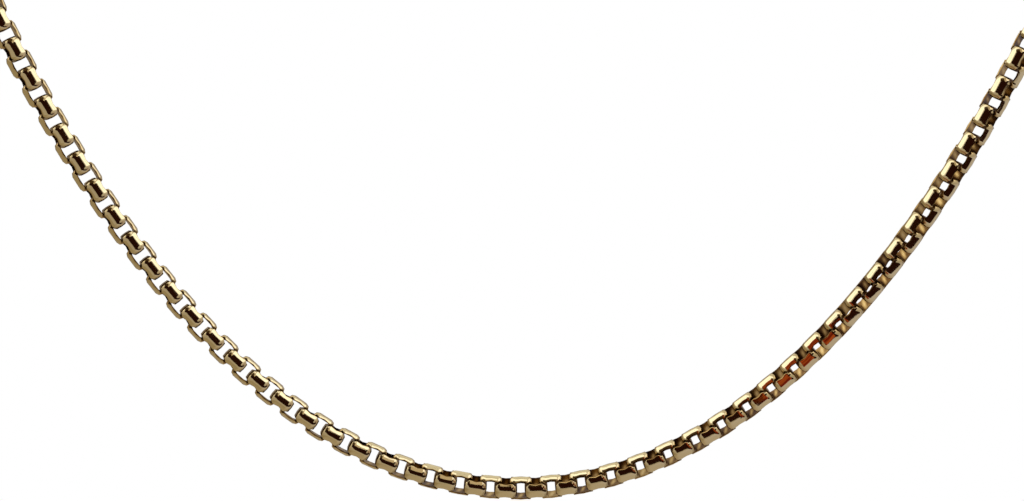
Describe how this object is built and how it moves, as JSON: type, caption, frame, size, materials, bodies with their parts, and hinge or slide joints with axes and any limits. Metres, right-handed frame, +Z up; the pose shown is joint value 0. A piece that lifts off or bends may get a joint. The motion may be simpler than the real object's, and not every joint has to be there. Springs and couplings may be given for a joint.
{
  "type": "box chain necklace",
  "caption": "Rounded box chain necklace of domed square links, held in the form it hangs in when worn, closed at the nape by jump rings and a plain clasp",
  "frame": {"origin": "where the necklace rests on the nape, at the middle of the closed loop's back", "axes": "+Z up, front of the neck towards -Y, the wearer's left towards +X"},
  "size_m": [0.1346, 0.1143, 0.1035],
  "materials": {
    "links": "polished pale yellow gold, tarnished olive brown in the corners",
    "findings": "polished pale yellow gold"
  },
  "bodies": {
    "root": {"chain_left": "links", "chain_right": "links", "jump_ring_left": "findings", "jump_ring_right": "findings", "clasp": "findings"}
  },
  "joints": []
}
